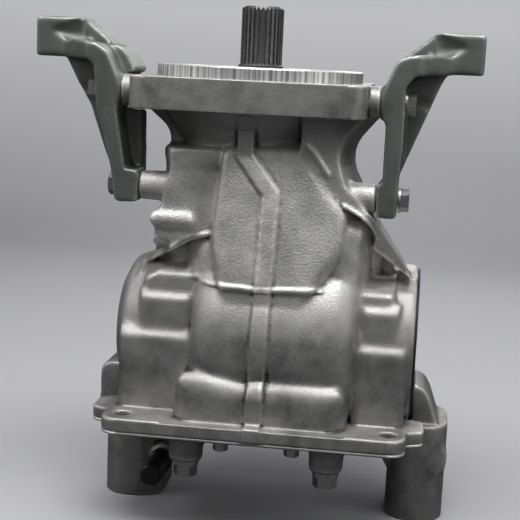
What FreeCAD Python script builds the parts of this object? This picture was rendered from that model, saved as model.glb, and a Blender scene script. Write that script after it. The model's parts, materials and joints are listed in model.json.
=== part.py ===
import FreeCAD, Part
import math
import os

V = FreeCAD.Vector

# Frame: Z is the input axis, pointing to the spline. X is parallel to the output axis,
# with the ring gear on the +X side. The front, with the long rib, faces -Y.
# The feet stand on z = 0. All sizes are in millimetres.

# Axes and gear sizes
AXLE_Z = 140.0
RING_TEETH = 40
PINION_TEETH = 13
RING_MODULE = 3.7
RING_FACE = 26.0
SIDE_TEETH = 16
SPIDER_TEETH = 10
DIFF_MODULE = 3.5
DIFF_FACE = 12.0
TOOTH_SLACK = 0.75
GEAR_RIM = 0.013
PINION_BACK = 9.0
CASE_X = 8.0

# Clearances
RUN = 0.05
GAP = 0.3

# Top plate and pilot disc
PLATE_TOP = 341.0
PLATE_T = 24.0
PLATE_X = 87.0
PLATE_Y = 84.0
PLATE_CORNER = 14.0
PILOT_R = 80.0
PILOT_T = 9.0
PILOT_SINK = 1.0
PILOT_RELIEF = 1.0
PILOT_SCREW_PCD = 128.0
PLATE_HOLE_X = 146.0
PLATE_HOLE_Y = 140.0
PLATE_HOLE_R = 5.1
PLATE_HOLE_DEPTH = 20.0

# Input shaft
SPLINE_TEETH = 26
SPLINE_R = 16.25
SPLINE_DEPTH = 1.4
SPLINE_TOP = 396.5
SPLINE_START = 353.0
COLLAR_R = 17.5
JOURNAL_R = 21.0

# Bearings on the input shaft
HEAD_CUP_R = 40.0
HEAD_CUP_W = 20.0
TAIL_CUP_R = 34.0
TAIL_CUP_Z = 287.0
TAIL_CUP_W = 18.0
ROLLERS = 10
ROLLER_MARGIN = 2.0

# Neck
NECK_R = 50.0
NECK_FLARE = 24.0
LEDGE_Z0 = 276.5
LEDGE_Z1 = 289.0

# Belly around the ring gear, and the side bosses
DRUM_R = 85.0
WALL = 6.0
DRUM_X0 = -36.0
DRUM_X1 = 90.0
DRUM_ROUND = 20.0
BOSS_R = 62.0
BOSS_X0 = -100.0
BOSS_X1 = 133.0
SIDE_BORE_R = 40.0
SIDE_CUP_W = 20.0
SEAL_SEAT_R = 27.0
SHAFT_HOLE_R = 18.5

# Differential case
CASE_R = 43.0
CASE_IN_R = 37.0
CASE_IN_HALF = 28.0
CASE_FLANGE_R = 66.0
CASE_FLANGE_T = 10.0
HUB_R = 24.0
GEAR_HUB_R = 18.0
GEAR_BORE_R = 14.0
PIN_R = 7.0
SPIDER_SEAT = 35.4
WASHER_T = 1.5
RING_BOLTS = 10
RING_BOLT_PCD = 114.0
RING_BOLT_R = 5.0

# Bottom flange and cover
FLANGE_Z1 = 88.0
FLANGE_T = 9.0
LIP_T = 3.0
FLANGE_X0 = -97.0
FLANGE_X1 = 131.0
FLANGE_Y = 102.0
FLANGE_CORNER = 17.0
EAR_HOLE_X0 = -82.0
EAR_HOLE_X1 = 117.5
EAR_HOLE_Y = 86.0
EAR_HOLE_R = 6.5
LOBE_Y = 56.0
LOBE_R = 13.0
COVER_BOLT_R = 4.0
COVER_PLATE_T = 10.0
COVER_INSET = 22.0

# Front details of the casting
BULGE_TOP = 293.0
BULGE_BOTTOM = 178.0
BULGE_Y_TOP = -63.0
BULGE_Y_BOTTOM = -76.5
BULGE_ROUND = 6.0
PANEL_Y = -62.0
FOLD_X = -40.0
SHELF_Z = 213.0
RIB_W = 12.0
RIB_PROUD = 1.6
RIDGE_PROUD = 1.4
BEAD_X0 = -44.0
BEAD_X1 = 85.0
BEAD_Y = -91.0
BEAD_TOP = 122.0
BEAD_R = 15.0
STEP_Y = 66.0

# Mount bracket bolts
BOLT_Y = -50.0
BOLT_LOW_Z = 258.5
BOLT_R = 5.0
BOLT_AF = 15.5
BOLT_HEAD = 8.0
BOLT_GRIP = 20.0
BOSS_UP_R = 12.0
BOSS_LOW_R = 11.0
UP_SEAT = 96.0
LEFT_LOW_SEAT = -81.0
RIGHT_LOW_SEAT = 97.5

# Bracket pads
PAD_X_IN = 134.5
PAD_X_OUT = 170.0
PAD_Z0 = 351.5
PAD_Z1 = 381.5
PAD_Y0 = -36.0
PAD_Y1 = 10.0
PAD_HOLE_R = 6.25
PAD_HOLE_Y = -9.0

# Feet
FOOT_Y0 = -24.0
FOOT_Y1 = 46.0
LEFT_FOOT_X0 = -113.0
LEFT_FOOT_X1 = -64.0
RIGHT_FOOT_X0 = 118.0
RIGHT_FOOT_X1 = 164.0
FOOT_HOLE_R = 6.9
FOOT_HOLE_DEPTH = 32.0

# Plugs and breather
PLUG_LEFT_X = -33.0
PLUG_RIGHT_X = 73.0
PLUG_Y = -82.0
PLUG_BOSS_R = 13.0
PLUG_BOSS_Z = 56.5
PLUG_HEAD_AF = 16.0
PLUG_HEAD = 11.0
PLUG_R = 6.0
PLUG_WASHER_T = 1.2
BREATHER_X = -62.0
BREATHER_Z = 36.0
BREATHER_BOSS_R = 10.0
STUB_R = 5.0
CAP_R = 8.2

PLATE_Z0 = PLATE_TOP - PLATE_T
BOLT_UP_Z = PLATE_TOP - PLATE_T / 2
DISC_TOP = PLATE_TOP + PILOT_T
FLANGE_Z0 = FLANGE_Z1 - FLANGE_T
LIP_Z0 = FLANGE_Z0 - LIP_T
CAVITY_R = DRUM_R - WALL
CAVITY_X0 = DRUM_X0 + WALL
CAVITY_X1 = DRUM_X1 - WALL
RING_R = RING_TEETH * RING_MODULE / 2
PINION_R = PINION_TEETH * RING_MODULE / 2
SIDE_R = SIDE_TEETH * DIFF_MODULE / 2
SPIDER_R = SPIDER_TEETH * DIFF_MODULE / 2
RING_BACK_X = PINION_R + 16.0
HEAD_CUP_Z = AXLE_Z + RING_R + PINION_BACK
CASE_FLANGE_X = RING_BACK_X
LEFT_CUP_X = CAVITY_X0 - SIDE_CUP_W
RIGHT_CUP_X = CAVITY_X1


def corner_arc(before, corner, after, radius):
    """Ends and middle of the arc that rounds one corner of an outline, all as 2-D vectors."""
    to_before = (before - corner).normalize()
    to_after = (after - corner).normalize()
    half = to_before.getAngle(to_after) / 2
    longest = 0.49 * min((before - corner).Length, (after - corner).Length)
    reach = min(radius / math.tan(half), longest)
    size = reach * math.tan(half)
    inward = (to_before + to_after).normalize()
    middle = corner + inward * (size / math.sin(half) - size)
    return corner + to_before * reach, middle, corner + to_after * reach


def outline(corners, place):
    """Closed wire through (u, v) or (u, v, radius) corners. place(u, v) gives the 3-D point."""
    points = [V(c[0], c[1], 0) for c in corners]
    stops = []
    for index, corner in enumerate(corners):
        before = points[index - 1]
        after = points[(index + 1) % len(points)]
        radius = corner[2] if len(corner) > 2 else 0
        if radius:
            stops.append(corner_arc(before, points[index], after, radius))
        else:
            stops.append((points[index],) * 3)
    edges = []
    for index, (start, middle, end) in enumerate(stops):
        if (end - start).Length > 1e-6:
            arc = [place(p.x, p.y) for p in (start, middle, end)]
            edges.append(Part.Arc(*arc).toShape())
        following = stops[(index + 1) % len(stops)][0]
        if (following - end).Length > 1e-6:
            edges.append(Part.makeLine(place(end.x, end.y), place(following.x, following.y)))
    return Part.Wire(edges)


def prism_x(corners, x0, x1):
    """Outline in (y, z) carried from x0 to x1."""
    face = Part.Face(outline(corners, lambda u, v: V(x0, u, v)))
    return face.extrude(V(x1 - x0, 0, 0))


def prism_y(corners, y0, y1):
    """Outline in (x, z) carried from y0 to y1."""
    face = Part.Face(outline(corners, lambda u, v: V(u, y0, v)))
    return face.extrude(V(0, y1 - y0, 0))


def prism_z(corners, z0, z1):
    """Outline in (x, y) carried from z0 to z1."""
    face = Part.Face(outline(corners, lambda u, v: V(u, v, z0)))
    return face.extrude(V(0, 0, z1 - z0))


def box_corners(u0, u1, v0, v1, radius=0):
    """Corners of a rectangle, all with one radius."""
    return [(u0, v0, radius), (u1, v0, radius), (u1, v1, radius), (u0, v1, radius)]


def turned_x(corners):
    """Profile of (x, radius) corners turned about the output axis."""
    face = Part.Face(outline(corners, lambda u, v: V(u, 0, AXLE_Z + v)))
    return face.revolve(V(0, 0, AXLE_Z), V(1, 0, 0), 360)


def turned_z(corners, x=0.0, y=0.0):
    """Profile of (radius, z) corners turned about a vertical axis."""
    face = Part.Face(outline(corners, lambda u, v: V(x + u, y, v)))
    return face.revolve(V(x, y, 0), V(0, 0, 1), 360)


def ring_x(x0, x1, outer, inner):
    """Plain ring on the output axis."""
    return turned_x([(x0, inner), (x1, inner), (x1, outer), (x0, outer)])


def rod(start, direction, length, radius):
    """Cylinder from a point along a direction."""
    return Part.makeCylinder(radius, length, V(*start), V(*direction))


def placed(shape, origin, direction):
    """Moves a shape made on +Z at the origin so that it starts at origin and points along direction."""
    moved = shape.copy()
    moved.Placement = FreeCAD.Placement(V(*origin), FreeCAD.Rotation(V(0, 0, 1), V(*direction)))
    return moved


def joined(shapes):
    """One solid from overlapping shapes."""
    return shapes[0].fuse(shapes[1:]).removeSplitter()


def hexagon(across_flats, z0, z1):
    """Hexagonal prism on +Z."""
    corner_r = across_flats / math.sqrt(3)
    corners = []
    for step in range(6):
        angle = math.radians(60 * step)
        corners.append((corner_r * math.cos(angle), corner_r * math.sin(angle)))
    return prism_z(corners, z0, z1)


def flange_bolt(radius, grip, across_flats, head):
    """Hexagon bolt with a flange. Its head stands on +Z and its shank goes down from z = 0."""
    flange_t = 0.2 * head
    top = across_flats / math.sqrt(3)
    flange = rod((0, 0, 0), (0, 0, 1), flange_t, across_flats * 0.62)
    crown = turned_z([(0, flange_t), (top + 1, flange_t), (top + 1, head - 1.2), (top - 1, head), (0, head)])
    body = hexagon(across_flats, flange_t, head).common(crown)
    return joined([flange, body, rod((0, 0, -grip), (0, 0, 1), grip, radius)])


def bevel_gear(teeth, mate_teeth, module, face, back, half_pitch_turn):
    """Straight bevel gear on +Z with its cone's tip at the origin and its teeth facing the tip.

    back lists the (radius, z) corners from the bore's front round the back to the outer root.
    Each tooth is a loft between one profile at the big end and the same profile scaled to the tip.
    The root cone runs a little past both ends of the teeth.
    """
    pitch = math.atan2(teeth, mate_teeth)
    pitch_r = teeth * module / 2
    cone = pitch_r / math.sin(pitch)
    inner = (cone - face) / cone
    add = 0.8 * module
    ded = 1.0 * module
    lean = math.tan(math.radians(20))
    half = math.pi * module / 4 - TOOTH_SLACK / 2

    def point(height, side):
        return V(pitch_r + height * math.cos(pitch), side,
                 pitch_r / math.tan(pitch) - height * math.sin(pitch))

    root = point(-ded, 0)
    sunk = -ded - 0.3 * module
    profile = [(sunk, -half - ded * lean), (add, -half + add * lean),
               (add, half - add * lean), (sunk, half + ded * lean)]
    wires = []
    for scale in (1.0, inner):
        corners = [point(h, s) * scale for h, s in profile]
        wires.append(Part.makePolygon(corners + corners[:1]))
    tooth = Part.makeLoft(wires, True, True)
    start, end = root * inner * (1 - GEAR_RIM), root * (1 + GEAR_RIM)
    body = turned_z([(start.x, start.z)] + back + [(end.x, end.z)])
    copies = [body]
    for number in range(teeth):
        turn = 360.0 * (number + (0.5 if half_pitch_turn else 0)) / teeth
        copy = tooth.copy()
        copy.rotate(V(0, 0, 0), V(0, 0, 1), turn)
        copies.append(copy)
    return copies[0].fuse(copies[1:])


def drive_pinion():
    """Input shaft with the pinion head below and the spline on top, in one piece."""
    head_z = AXLE_Z + RING_R
    nose = 3.0
    inner_z = RING_R * 0.64
    back = [(0, inner_z), (0, RING_R + PINION_BACK), (JOURNAL_R + 5, RING_R + PINION_BACK),
            (JOURNAL_R + 5, RING_R + 3)]
    gear = bevel_gear(PINION_TEETH, RING_TEETH, RING_MODULE, RING_FACE, back, True)
    gear.translate(V(0, 0, AXLE_Z))
    shaft = turned_z([(0, head_z), (JOURNAL_R, head_z), (JOURNAL_R, HEAD_CUP_Z + HEAD_CUP_W + 2),
                      (COLLAR_R, HEAD_CUP_Z + HEAD_CUP_W + 4), (COLLAR_R, SPLINE_START - 1.5),
                      (SPLINE_R - SPLINE_DEPTH, SPLINE_START), (SPLINE_R - SPLINE_DEPTH, SPLINE_TOP - nose),
                      (SPLINE_R - SPLINE_DEPTH - 1.5, SPLINE_TOP), (0, SPLINE_TOP)])
    pitch = 360.0 / SPLINE_TEETH
    root_r = SPLINE_R - SPLINE_DEPTH - 0.3
    root_half = root_r * math.radians(pitch) * 0.32
    tip_half = SPLINE_R * math.radians(pitch) * 0.19
    tooth = prism_z([(root_r, -root_half), (SPLINE_R, -tip_half), (SPLINE_R, tip_half), (root_r, root_half)],
                    SPLINE_START - 1, SPLINE_TOP - 1)
    teeth = []
    for number in range(SPLINE_TEETH):
        copy = tooth.copy()
        copy.rotate(V(0, 0, 0), V(0, 0, 1), number * pitch)
        teeth.append(copy)
    crown = turned_z([(0, SPLINE_START - 2), (COLLAR_R, SPLINE_START - 2), (COLLAR_R, SPLINE_TOP - 3),
                      (COLLAR_R - 3.5, SPLINE_TOP), (0, SPLINE_TOP)])
    spline = shaft.fuse(teeth).common(crown.fuse(turned_z([(0, 0), (DRUM_R, 0), (DRUM_R, SPLINE_START - 2),
                                                            (0, SPLINE_START - 2)])))
    return gear.fuse(spline)


def taper_bearing(bore, outer, low, high, width):
    """Cup and cone with rollers on +Z. low and high are (race radius, roller radius) at the two ends."""
    slope = (high[0] - low[0]) / width
    start_r = low[1] + (high[1] - low[1]) * ROLLER_MARGIN / width
    end_r = high[1] - (high[1] - low[1]) * ROLLER_MARGIN / width
    length = width - 2 * ROLLER_MARGIN
    race = turned_z([(bore, 0), (low[0], 0), (high[0], width), (bore, width)])
    start = low[0] + slope * ROLLER_MARGIN + start_r + 2 * RUN
    end = high[0] - slope * ROLLER_MARGIN + end_r + 2 * RUN
    roller = Part.makeCylinder(min(start_r, end_r), length)
    roller.rotate(V(0, 0, 0), V(0, 1, 0), math.degrees(math.atan2(end - start, length)))
    roller.translate(V(start, 0, ROLLER_MARGIN))
    solids = [race]
    for number in range(ROLLERS):
        copy = roller.copy()
        copy.rotate(V(0, 0, 0), V(0, 0, 1), number * 360.0 / ROLLERS)
        solids.append(copy)
    cup = turned_z([(low[0] + 2 * low[1] + 5 * RUN, 0), (outer, 0), (outer, width),
                    (high[0] + 2 * high[1] + 5 * RUN, width)])
    return cup, Part.makeCompound(solids)


def head_bearing():
    """Large bearing beside the pinion head: cup in the neck, cone on the shaft."""
    pair = taper_bearing(JOURNAL_R, HEAD_CUP_R, (29.0, 3.8), (26.5, 3.2), HEAD_CUP_W)
    return [placed(shape, (0, 0, HEAD_CUP_Z), (0, 0, 1)) for shape in pair]


def tail_bearing():
    """Small bearing under the pilot disc."""
    pair = taper_bearing(COLLAR_R, TAIL_CUP_R, (22.0, 2.8), (24.2, 3.3), TAIL_CUP_W)
    return [placed(shape, (0, 0, TAIL_CUP_Z), (0, 0, 1)) for shape in pair]


def side_bearing(left):
    """Side bearing: cup in the housing's bore, cone on the case's hub. Its wide end faces the case."""
    big, small = (30.2, 3.8), (27.6, 3.2)
    if left:
        pair = taper_bearing(HUB_R, SIDE_BORE_R, small, big, SIDE_CUP_W)
        return [placed(shape, (LEFT_CUP_X, 0, AXLE_Z), (1, 0, 0)) for shape in pair]
    pair = taper_bearing(HUB_R, SIDE_BORE_R, big, small, SIDE_CUP_W)
    return [placed(shape, (RIGHT_CUP_X, 0, AXLE_Z), (1, 0, 0)) for shape in pair]


def crush_sleeve():
    """Spacer between the two inner races on the input shaft."""
    low = HEAD_CUP_Z + HEAD_CUP_W
    high = TAIL_CUP_Z
    return turned_z([(JOURNAL_R + 0.2, low), (JOURNAL_R + 3, low), (JOURNAL_R + 3, low + 6),
                     (COLLAR_R + 3.5, low + 12), (COLLAR_R + 3.5, high), (COLLAR_R + 0.2, high),
                     (COLLAR_R + 0.2, low + 6), (JOURNAL_R + 0.2, low + 5)])


def pinion_nut():
    """Twelve-sided lock nut that holds the bearings on the shaft."""
    low = TAIL_CUP_Z + TAIL_CUP_W
    corners = []
    for step in range(12):
        angle = math.radians(30 * step)
        corners.append((25 * math.cos(angle), 25 * math.sin(angle)))
    return prism_z(corners, low, low + 12).cut(rod((0, 0, low), (0, 0, 1), 12, COLLAR_R))


def pilot_disc():
    """Machined disc that centres the mating case and carries the input seal."""
    spigot = TAIL_CUP_R
    low = PLATE_TOP - PILOT_SINK
    disc = turned_z([(26, PLATE_TOP - 6), (spigot, PLATE_TOP - 6), (spigot, low), (PILOT_R, low),
                     (PILOT_R, DISC_TOP - 1), (PILOT_R - 1, DISC_TOP),
                     (58, DISC_TOP), (56, DISC_TOP - 2), (40, DISC_TOP - 2), (38, DISC_TOP), (26, DISC_TOP)])
    for number in range(6):
        angle = math.radians(60 * number + 30)
        x = PILOT_SCREW_PCD / 2 * math.cos(angle)
        y = PILOT_SCREW_PCD / 2 * math.sin(angle)
        disc = disc.cut(rod((x, y, low), (0, 0, 1), PILOT_T + PILOT_SINK, 3.0))
        disc = disc.cut(rod((x, y, DISC_TOP - 6.5), (0, 0, 1), 6.5, 5.5))
    return disc


def pilot_screws():
    """Six socket screws, sunk in the pilot disc."""
    screws = []
    for number in range(6):
        angle = math.radians(60 * number + 30)
        x = PILOT_SCREW_PCD / 2 * math.cos(angle)
        y = PILOT_SCREW_PCD / 2 * math.sin(angle)
        head = rod((x, y, DISC_TOP - 6.5), (0, 0, 1), 6, 5.0)
        socket = hexagon(5.0, DISC_TOP - 3.5, DISC_TOP)
        socket.translate(V(x, y, 0))
        shank = rod((x, y, PLATE_TOP - 12), (0, 0, 1), DISC_TOP - 6.5 - PLATE_TOP + 12, 3.0)
        screws.append(head.cut(socket).fuse(shank).removeSplitter())
    return Part.makeCompound(screws)


def input_seal():
    """Lip seal between the pilot disc and the collar of the shaft."""
    low = PLATE_TOP - 6
    return turned_z([(COLLAR_R + GAP, low + 4), (COLLAR_R + 4, low), (26, low), (26, low + 9),
                     (COLLAR_R + 4, low + 9)])


def neck():
    """Round neck with a flare under the plate and a ledge around it."""
    body = turned_z([(0, AXLE_Z), (NECK_R, AXLE_Z), (NECK_R, PLATE_Z0 - NECK_FLARE - 12, 12),
                     (NECK_R + NECK_FLARE, PLATE_Z0 + 1), (0, PLATE_Z0 + 1)])
    ledge = prism_y(box_corners(-69, 66, LEDGE_Z0, LEDGE_Z1, 5), PANEL_Y - 1, 42)
    plan = [(-69, 42, 20), (-69, -25, 20), (-57, PANEL_Y - 1, 10), (FOLD_X, PANEL_Y - 1, 10),
            (-14, PANEL_Y + 6), (-14, -42), (66, -42, 20), (66, 42, 20)]
    ledge = ledge.common(prism_z(plan, LEDGE_Z0, LEDGE_Z1))
    left_gusset = prism_y([(-50, PLATE_Z0 + 1), (-84, PLATE_Z0 + 1), (-84, PLATE_Z0 - 2), (-66, 300, 18),
                           (-65, LEDGE_Z0), (-50, LEDGE_Z0)], -20, 20)
    return [body, ledge, left_gusset]


def left_panel():
    """Folded web between the neck and the left boss, its rounded bar and the deeper web behind."""
    face = prism_y([(-17, LEDGE_Z1 - 2), (-57, LEDGE_Z1 - 2), (-57, 273), (-63.5, 244), (-67, 229),
                    (-69, SHELF_Z, 2), (-53, SHELF_Z), (-47, 219, 6), (-34, 225), (-17, 229)], PANEL_Y, -20)
    face = face.common(prism_z([(-72, PANEL_Y), (FOLD_X, PANEL_Y), (-17, PANEL_Y + 8), (-17, -20),
                                (-72, -20)],
                               SHELF_Z, LEDGE_Z1))
    bar = prism_y(box_corners(-71, -37, 228, 242, 6.5), PANEL_Y - 4, 38)
    bar = bar.common(prism_x(box_corners(PANEL_Y - 4, 38, 228, 242, 6.5), -71, -37))
    rear = prism_y([(-20, LEDGE_Z1 - 2), (-65, LEDGE_Z1 - 2), (-65, 270), (-69, 236), (-73, 205), (-84, 196),
                    (-84, AXLE_Z), (-20, AXLE_Z)], -38, 38)
    return [face, bar, rear]


def right_panel():
    """Sloping web from the plate to the right boss. Its window edge widens towards the back."""
    front = [(40, PLATE_Z0 + 1), (87, PLATE_Z0 + 1), (66, 294, 22), (74, 268), (99, 241), (120, 210),
             (127, 197), (110, 210), (97, 221), (99, 231, 12), (92, 243, 12), (72, 254), (40, 254)]
    back = [(40, PLATE_Z0 + 1), (97, PLATE_Z0 + 1), (74, 290, 26), (91, 258), (98.5, 242), (120, 210),
            (127, 197), (110, 208), (97, 216), (97, 228, 12), (90, 240, 12), (72, 252), (40, 252)]
    wires = [outline(front, lambda u, v: V(u, PANEL_Y - 1, v)), outline(back, lambda u, v: V(u, -16, v))]
    slope = Part.makeLoft(wires, True, True)
    rear = prism_y([(30, PLATE_Z0 + 1), (84, PLATE_Z0 + 1), (64, 292, 22), (70, 262), (113, 212),
                    (113, AXLE_Z), (30, AXLE_Z)], -17, 38)
    return [slope, rear]


def cheeks(proud):
    """Rounded columns beside the bulge, from the side bores up to the webs."""
    columns = []
    for x, y, radius, top in ((74, -32, 30, 244), (-17, -34, 28, 226)):
        size = radius + proud
        columns.append(turned_z([(0, AXLE_Z), (size, AXLE_Z), (size, top + proud, 20), (0, top + proud)], x,
                                y))
    return columns


def bracket_bosses():
    """Round bosses on the plate and the webs, where the mount brackets bolt on."""
    bosses = []
    for side in (-1, 1):
        bosses.append(rod((side * (PLATE_X - 20), BOLT_Y, BOLT_UP_Z), (side, 0, 0), UP_SEAT - PLATE_X + 20,
                          BOSS_UP_R))
    left = Part.makeCone(BOSS_LOW_R + 1, BOSS_LOW_R, -LEFT_LOW_SEAT - 50, V(-50, BOLT_Y, BOLT_LOW_Z),
                         V(-1, 0, 0))
    right = Part.makeCone(BOSS_LOW_R + 1, BOSS_LOW_R, RIGHT_LOW_SEAT - 60, V(60, BOLT_Y, BOLT_LOW_Z),
                          V(1, 0, 0))
    return bosses + [left, right]


def drum():
    """Barrel around the ring gear, the bell of the left boss and the right boss."""
    barrel = turned_x([(DRUM_X0, 0), (DRUM_X0, DRUM_R, DRUM_ROUND), (DRUM_X1, DRUM_R, DRUM_ROUND),
                       (DRUM_X1, 0)])
    bell = turned_x([(DRUM_X0 - 10, 0), (DRUM_X0 - 10, BOSS_R), (-77, BOSS_R - 1, 5), (-92, 56, 12),
                     (BOSS_X0, 40, 6), (BOSS_X0, 0)])
    boss = turned_x([(DRUM_X1 - 20, 0), (DRUM_X1 - 20, BOSS_R), (BOSS_X1, BOSS_R, 5), (BOSS_X1, 0)])
    skirt = prism_y([(DRUM_X0 + 4, FLANGE_Z1 - 2), (DRUM_X1 - 4, FLANGE_Z1 - 2), (DRUM_X1 - 4, AXLE_Z),
                     (DRUM_X0 + 4, AXLE_Z)], -DRUM_R + 2, DRUM_R - 2)
    skirt = skirt.common(prism_z(box_corners(DRUM_X0 + 4, DRUM_X1 - 4, -DRUM_R + 2, DRUM_R - 2, 18),
                                 FLANGE_Z1 - 2, AXLE_Z))
    return [barrel, bell, boss, skirt]


def step_block(x0, x1, y, z0, z1, slope):
    """One step beside the belly. Its top slopes back, and it mirrors to the rear."""
    section = [(-y, z0), (y, z0), (y, z1, 2), (y - 7, z1 + slope, 2), (7 - y, z1 + slope, 2), (-y, z1, 2)]
    block = prism_x(section, x0, x1)
    return block.common(prism_z(box_corners(x0, x1, -y, y, 6), z0, z1 + slope))


def steps():
    """Three steps on each side, which carry the flange's corners up to the side bosses."""
    spans = [(-92, -34, 88, 128), (-78, -37, 91, 121), (-76, -33, 89, 116)]
    heights = [(FLANGE_Z1 - 1, 144, 8), (143, 173.5, 7), (172, 192, 5)]
    blocks = []
    for number, (span, height) in enumerate(zip(spans, heights)):
        for x0, x1 in (span[:2], span[2:]):
            blocks.append(step_block(x0, x1, STEP_Y - 5 * number, *height))
    return blocks


def bulge_section(grow, place):
    """Outline of the bulge. Each corner moves outwards in its own direction by grow."""
    corners = [(-18, BULGE_TOP, 8, -0.7, 1), (40, BULGE_TOP + 1, 14, 0.5, 1), (77, 247, 14, 1.2, 0.3),
               (76, 222, 24, 1.2, -0.2), (52, BULGE_BOTTOM, 0, 1.2, 0), (-14, BULGE_BOTTOM, 0, -0.8, 0),
               (-23, 218, 30, -0.8, 0)]
    return outline([(x + grow * dx, z + grow * dz, radius) for x, z, radius, dx, dz in corners], place)


def bulge_solid(proud):
    """Swollen front over the pinion and ring gear, with a rounded rim and flaring sides."""
    slope = (BULGE_Y_TOP - BULGE_Y_BOTTOM) / (BULGE_TOP - BULGE_BOTTOM)

    def sloped(back):
        return lambda u, v: V(u, BULGE_Y_BOTTOM - proud + back + slope * (v - BULGE_BOTTOM), v)

    wires = [bulge_section(-BULGE_ROUND, sloped(0)),
             bulge_section(-BULGE_ROUND / 3, sloped(BULGE_ROUND / 3)),
             bulge_section(0, sloped(BULGE_ROUND)), bulge_section(2 * BULGE_ROUND, lambda u,
                                                                  v: V(u, -28, v))]
    return Part.makeLoft(wires, True, True)


def bead_section(inset):
    """Outline of the trough along the belly's foot in (y, z), rounded at its top."""
    return [(-50, FLANGE_Z1 - 1 - 2 * inset), (BEAD_Y + inset, FLANGE_Z1 - 1 - 2 * inset),
            (BEAD_Y + inset, BEAD_TOP - inset, BEAD_R - inset), (-50, BEAD_TOP - inset)]


def bead_solid(proud):
    """Half-round trough along the foot of the belly."""
    low, high = FLANGE_Z1 - 1, BEAD_TOP + proud
    body = prism_x(bead_section(-proud), BEAD_X0, BEAD_X1)
    body = body.common(prism_z([(BEAD_X0, BEAD_Y - proud, 14), (BEAD_X1, BEAD_Y - proud, 14), (BEAD_X1, -50),
                                (BEAD_X0, -50)], low, high))
    return body.common(prism_y([(BEAD_X0, low), (BEAD_X1, low), (BEAD_X1, high, 15), (BEAD_X0, high, 15)],
                               BEAD_Y - proud, -50))


def flange_outline(grow=0.0):
    """Corners of the bottom flange, with one lobe on each side near the front and the rear."""
    x0, x1, y = FLANGE_X0 - grow, FLANGE_X1 + grow, FLANGE_Y + grow
    lobe, half = LOBE_R + grow, LOBE_R + 6
    corners = [(x0, -y, FLANGE_CORNER), (x1, -y, FLANGE_CORNER)]
    for sign in (-1, 1):
        corners += [(x1, sign * (LOBE_Y - sign * half)), (x1 + lobe, sign * LOBE_Y - half * 0.7, 6),
                    (x1 + lobe, sign * LOBE_Y + half * 0.7, 6), (x1, sign * (LOBE_Y + sign * half))]
    corners += [(x1, y, FLANGE_CORNER), (x0, y, FLANGE_CORNER)]
    for sign in (1, -1):
        corners += [(x0, sign * (LOBE_Y + sign * half)), (x0 - lobe, sign * LOBE_Y + half * 0.7, 6),
                    (x0 - lobe, sign * LOBE_Y - half * 0.7, 6), (x0, sign * (LOBE_Y - sign * half))]
    return corners


def ear_places():
    """Centres of the four through holes at the flange's corners."""
    return [(x, y) for x in (EAR_HOLE_X0, EAR_HOLE_X1) for y in (-EAR_HOLE_Y, EAR_HOLE_Y)]


def cover_bolt_places():
    """Centres of the bolts that hold the cover from below."""
    places = [(x, y) for x in (FLANGE_X0, FLANGE_X1) for y in (-LOBE_Y, LOBE_Y)]
    return places + [(x, sign * (FLANGE_Y - 8)) for x in (-5.0, 48.0) for sign in (-1, 1)]


def flange():
    """Bottom flange of the casting with raised pads round the corner holes."""
    plate = prism_z(flange_outline(), FLANGE_Z0, FLANGE_Z1)
    pads = []
    for x, y in ear_places():
        side = -1 if x < 0 else 1
        end = 1 if y > 0 else -1
        edge, inner = end * (FLANGE_Y - 1), end * (FLANGE_Y - 32)
        corners = [(x + side * 13, edge, 12), (x + side * 13, inner, 6), (x - side * 14, inner, 20),
                   (x - side * 33, edge, 2)]
        pads.append(prism_z(corners, FLANGE_Z1 - 1, FLANGE_Z1 + 1.2))
    return [plate] + pads


def rib():
    """Long flat rib from the plate down to the flange, with one zigzag across the bulge."""
    half = RIB_W / 2
    line = [(-0.2, PLATE_Z0), (-0.2, 286), (20.5, 259), (18.6, 184), (17.6, FLANGE_Z0)]
    left = [(x - half, z - (1.5 if 200 < z < 300 else 0)) for x, z in line]
    right = [(x + half, z + (1.5 if 200 < z < 300 else 0)) for x, z in reversed(line)]
    strip = prism_y(left + right, -FLANGE_Y - 5, -40)
    proud = turned_x([(DRUM_X0 + 10, 0), (DRUM_X0 + 10, DRUM_R + RIB_PROUD),
                      (DRUM_X1 - 20, DRUM_R + RIB_PROUD), (DRUM_X1 - 20, 0)])
    skirt = prism_y(box_corners(-10, 40, FLANGE_Z0, AXLE_Z), -DRUM_R + 2 - RIB_PROUD, -40)
    edge = prism_z(box_corners(-10, 40, -FLANGE_Y - RIB_PROUD, -40), FLANGE_Z0, FLANGE_Z1 + RIB_PROUD)
    web = prism_y(box_corners(-10, 10, 280, PLATE_Z0), BULGE_Y_TOP - RIB_PROUD - 1, -40)
    pieces = [strip.common(form) for form in (proud, bulge_solid(RIB_PROUD), bead_solid(RIB_PROUD), skirt,
                                              edge,
                                               web)]
    return [piece for piece in pieces if piece.Volume > 1]


def strip_on_front(line, width, y):
    """Thin raised strip along (x, z) points, standing out to y."""
    lower = [(x, z - width / 2) for x, z in line]
    upper = [(x, z + width / 2) for x, z in reversed(line)]
    return prism_y(lower + upper, y, -20)


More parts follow.
